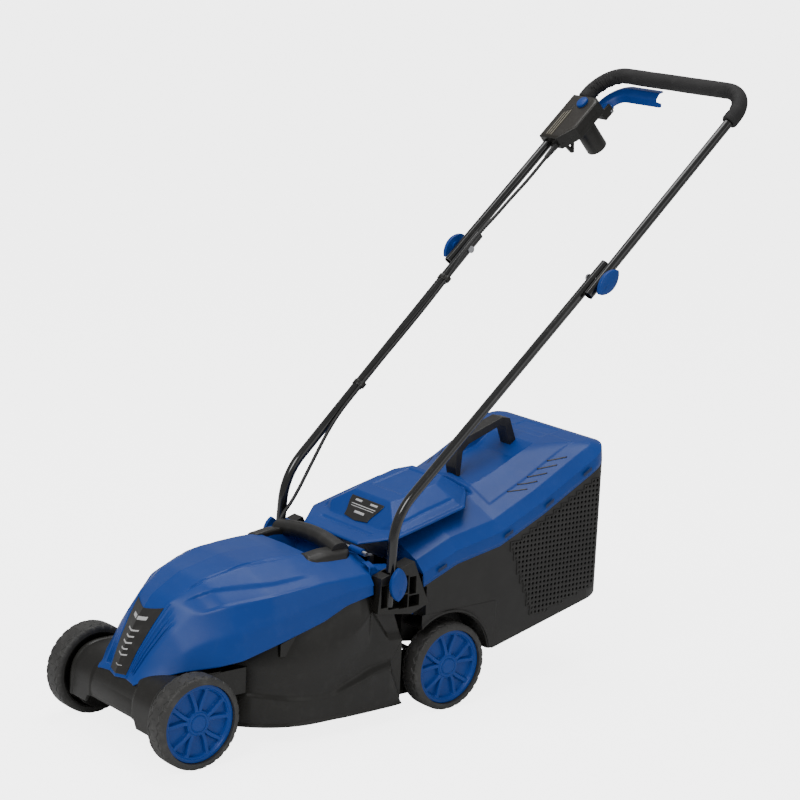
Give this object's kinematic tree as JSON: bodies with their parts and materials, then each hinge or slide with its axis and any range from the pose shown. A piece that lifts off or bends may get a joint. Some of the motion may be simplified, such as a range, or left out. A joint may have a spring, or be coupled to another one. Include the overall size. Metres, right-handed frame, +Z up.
{
  "type": "electric rotary lawn mower",
  "caption": "Corded electric push mower with rear grass box, folding push bar, bail switch, spinning blade and wheels, lifting flap and adjustable axles.",
  "frame": {"origin": "on the ground, midway between the two axles and between the wheels", "axes": "+Z up; -Y towards the mower's nose; +X towards the operator's left hand seen from behind"},
  "size_m": [0.439, 1.286, 1.0937],
  "materials": {
    "black_plastic": "satin moulded, fine grain",
    "blue_plastic": "satin gloss moulded",
    "black_tube": "gloss powder coat",
    "foam": "matt closed-cell foam",
    "tyre": "matt",
    "steel": "zinc plated",
    "blade_steel": "ground edge",
    "copper_core": "laminated, varnished",
    "label": "printed film",
    "lead": "satin jacket",
    "brass": "plain"
  },
  "bodies": {
    "chassis": {"deck": "black_plastic", "handle_socket_left": "black_plastic", "handle_socket_right": "black_plastic", "motor_cover": "blue_plastic", "nose_label": "label", "carry_handle": "black_plastic", "motor_can": "steel", "stator_core": "copper_core", "upper_bearing": "steel", "lower_bearing": "steel", "flap_hinge_rod": "steel", "lower_tube_left": "black_tube", "lower_tube_right": "black_tube", "lower_bolts": "steel", "upper_bolts": "steel", "lead_joint": "lead", "lead_lower": "lead", "lead_grommet": "lead", "cable_clips": "black_plastic"},
    "front_axle": {"front_axle": "steel"},
    "rear_axle": {"rear_axle": "steel"},
    "cutter": {"armature": "steel", "fan_and_blade_holder": "black_plastic", "blade": "blade_steel", "blade_bolt": "steel"},
    "flap": {"rear_flap": "blue_plastic", "flap_label": "label"},
    "grass_box": {"grass_box_base": "black_plastic", "grass_box_lid": "blue_plastic", "grass_box_handle": "black_plastic"},
    "upper_handle": {"upper_tube": "black_tube", "foam_grip": "foam", "switch_box_base": "black_plastic", "switch_box_cover": "black_plastic", "lever_pin": "steel", "inlet_cup": "black_plastic", "inlet_pins": "brass", "micro_switch": "black_plastic", "cord_hook": "black_plastic", "strain_relief": "lead", "lead_upper": "lead"},
    "bail": {"bail_lever": "blue_plastic"},
    "button": {"lock_button": "blue_plastic"},
    "wheel_front_left": {"tyre_front_left": "tyre", "rim_front_left": "blue_plastic", "hub_cap_front_left": "blue_plastic"},
    "wheel_front_right": {"tyre_front_right": "tyre", "rim_front_right": "blue_plastic", "hub_cap_front_right": "blue_plastic"},
    "wheel_rear_left": {"tyre_rear_left": "tyre", "rim_rear_left": "blue_plastic", "hub_cap_rear_left": "blue_plastic"},
    "wheel_rear_right": {"tyre_rear_right": "tyre", "rim_rear_right": "blue_plastic", "hub_cap_rear_right": "blue_plastic"},
    "knob_lower_left": {"wing_knob_lower_left": "blue_plastic"},
    "knob_lower_right": {"wing_knob_lower_right": "blue_plastic"},
    "knob_upper_left": {"wing_knob_upper_left": "blue_plastic"},
    "knob_upper_right": {"wing_knob_upper_right": "blue_plastic"}
  },
  "joints": [
    {"name": "front_axle_height", "type": "slide", "parent": "chassis", "child": "front_axle", "axis": [0, 0, 1], "range_m": [-0.04, 0]},
    {"name": "rear_axle_height", "type": "slide", "parent": "chassis", "child": "rear_axle", "axis": [0, 0, 1], "range_m": [-0.04, 0]},
    {"name": "blade_spin", "type": "hinge", "parent": "chassis", "child": "cutter", "pos_m": [0, -0.015, 0.1], "axis": [0, 0, 1], "continuous": true},
    {"name": "flap_hinge", "type": "hinge", "parent": "chassis", "child": "flap", "pos_m": [0, 0.112, 0.299], "axis": [1, 0, 0], "range_deg": [0, 70]},
    {"name": "box_lift_off", "type": "slide", "parent": "chassis", "child": "grass_box", "axis": [0, 0.9848, 0.1736], "range_m": [0, 0.35]},
    {"name": "upper_fold", "type": "hinge", "parent": "chassis", "child": "upper_handle", "pos_m": [0, 0.564, 0.757], "axis": [1, 0, 0], "range_deg": [0, 160], "deforming": ["lead_joint"]},
    {"name": "bail_squeeze", "type": "hinge", "parent": "upper_handle", "child": "bail", "pos_m": [0, 0.88534, 1.01135], "axis": [1, 0, 0], "range_deg": [0, 8], "stiffness_Nm_per_rad": 1.2, "springref_deg": -8.59},
    {"name": "lock_button_press", "type": "slide", "parent": "upper_handle", "child": "button", "axis": [0, 0.6691, -0.7431], "range_m": [0, 0.004], "stiffness_N_per_m": 600, "springref_m": -0.002},
    {"name": "wheel_front_left_spin", "type": "hinge", "parent": "front_axle", "child": "wheel_front_left", "pos_m": [0.155, -0.2675, 0.08], "axis": [1, 0, 0], "continuous": true},
    {"name": "wheel_front_right_spin", "type": "hinge", "parent": "front_axle", "child": "wheel_front_right", "pos_m": [-0.155, -0.2675, 0.08], "axis": [1, 0, 0], "continuous": true},
    {"name": "wheel_rear_left_spin", "type": "hinge", "parent": "rear_axle", "child": "wheel_rear_left", "pos_m": [0.155, 0.2675, 0.08], "axis": [1, 0, 0], "continuous": true},
    {"name": "wheel_rear_right_spin", "type": "hinge", "parent": "rear_axle", "child": "wheel_rear_right", "pos_m": [-0.155, 0.2675, 0.08], "axis": [1, 0, 0], "continuous": true},
    {"name": "knob_lower_left_turn", "type": "hinge", "parent": "chassis", "child": "knob_lower_left", "pos_m": [0.19, 0.133, 0.257], "axis": [1, 0, 0], "continuous": true},
    {"name": "knob_lower_right_turn", "type": "hinge", "parent": "chassis", "child": "knob_lower_right", "pos_m": [-0.19, 0.133, 0.257], "axis": [1, 0, 0], "continuous": true},
    {"name": "knob_upper_left_turn", "type": "hinge", "parent": "chassis", "child": "knob_upper_left", "pos_m": [0.19, 0.564, 0.757], "axis": [1, 0, 0], "continuous": true},
    {"name": "knob_upper_right_turn", "type": "hinge", "parent": "chassis", "child": "knob_upper_right", "pos_m": [-0.19, 0.564, 0.757], "axis": [1, 0, 0], "continuous": true}
  ]
}
